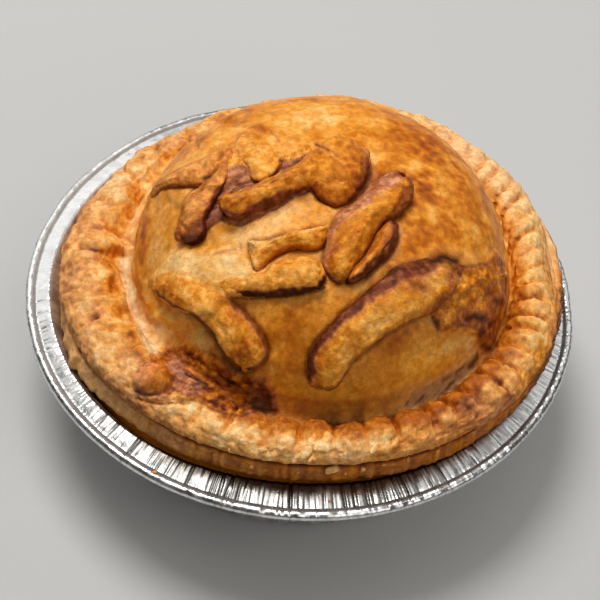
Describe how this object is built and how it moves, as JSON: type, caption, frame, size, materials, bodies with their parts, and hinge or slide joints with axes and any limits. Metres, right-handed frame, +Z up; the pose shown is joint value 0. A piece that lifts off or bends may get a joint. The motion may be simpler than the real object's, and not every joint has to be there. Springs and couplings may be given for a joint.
{
  "type": "steak and cheese pie",
  "caption": "Round single-serve baked pie with a tall domed lid, crimped rim and stained pastry strips on top, sitting in its own fluted aluminium foil tin.",
  "frame": {"origin": "centre of the foil tin's flat base, on the surface it stands on", "axes": "+Z up through the dome, +Y away from the front shown in the picture, +X to the right of that view"},
  "size_m": [0.125, 0.125, 0.0711],
  "materials": {
    "foil": "thin bright pressed foil with fine pleats and crinkles",
    "crust": "baked flaky pastry, golden and mottled with brown patches, soft egg-wash shine on the lid",
    "strip_pastry": "baked pastry with golden tops and dark brown, gravy-stained edges"
  },
  "bodies": {
    "root": {"foil_tin": "foil", "pie": "crust", "pastry_strip_1": "strip_pastry", "pastry_strip_2": "strip_pastry", "pastry_strip_3": "strip_pastry", "pastry_strip_4": "strip_pastry", "pastry_strip_5": "strip_pastry", "pastry_strip_6": "strip_pastry", "pastry_strip_7": "strip_pastry", "pastry_strip_8": "strip_pastry", "pastry_strip_9": "strip_pastry", "pastry_strip_10": "strip_pastry", "pastry_strip_11": "strip_pastry"}
  },
  "joints": []
}
